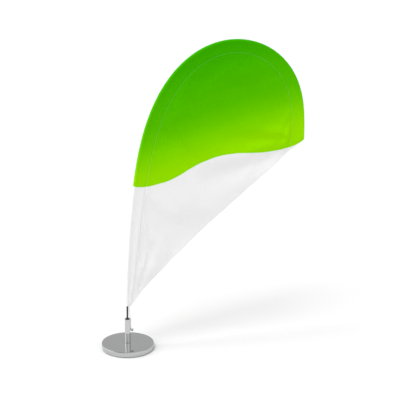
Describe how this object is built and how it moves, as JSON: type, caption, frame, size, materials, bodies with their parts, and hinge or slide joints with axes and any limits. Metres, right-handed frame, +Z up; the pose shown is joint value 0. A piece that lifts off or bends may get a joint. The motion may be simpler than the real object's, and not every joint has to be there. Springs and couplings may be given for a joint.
{
  "type": "tabletop teardrop flag",
  "caption": "Tabletop teardrop flag: a bent rod in a double-sided cloth sleeve stands in a chrome tube that turns on a round weighted base, with an elastic to a hook.",
  "frame": {"origin": "middle of the base's underside, on the pad, on the tube's axis", "axes": "+Z up along the tube, +X from the rod towards the flag's free corner in the flag's plane, Y across the cloth"},
  "size_m": [0.3032, 0.074, 0.4355],
  "materials": {
    "pad": "matte black foam rubber",
    "base_chrome": "polished chrome plate",
    "tube_chrome": "polished chrome plate",
    "nylon": "natural nylon",
    "steel": "zinc-plated steel",
    "hook_steel": "bright drawn wire",
    "bush": "black moulded plastic",
    "rod": "black fibreglass",
    "cap": "matte black rubber",
    "printed_cloth": "woven polyester, green gradient over a white lower part",
    "thread": "white polyester thread",
    "elastic": "white braided elastic"
  },
  "bodies": {
    "base": {"base_pad": "pad", "base_disc": "base_chrome", "glide_washer": "nylon"},
    "socket": {"socket_tube": "tube_chrome", "rod_bush": "bush", "cord_hook": "hook_steel", "base_screw": "steel", "spring_washer": "steel"},
    "flag": {"rod": "rod", "rod_tip_cap": "cap", "front_panel": "printed_cloth", "back_panel": "printed_cloth", "channel_thread_front": "thread", "channel_thread_back": "thread", "hem_thread_front": "thread", "hem_thread_back": "thread", "tail_tack_front": "thread", "tail_tack_back": "thread", "tension_elastic": "elastic"}
  },
  "joints": [
    {"name": "socket_turn", "type": "hinge", "parent": "base", "child": "socket", "pos_m": [0, 0, 0.008], "axis": [0, 0, 1], "continuous": true},
    {"name": "rod_lift", "type": "slide", "parent": "socket", "child": "flag", "axis": [0, 0, 1], "range_m": [0, 0.03], "deforming": ["tension_elastic"]}
  ]
}
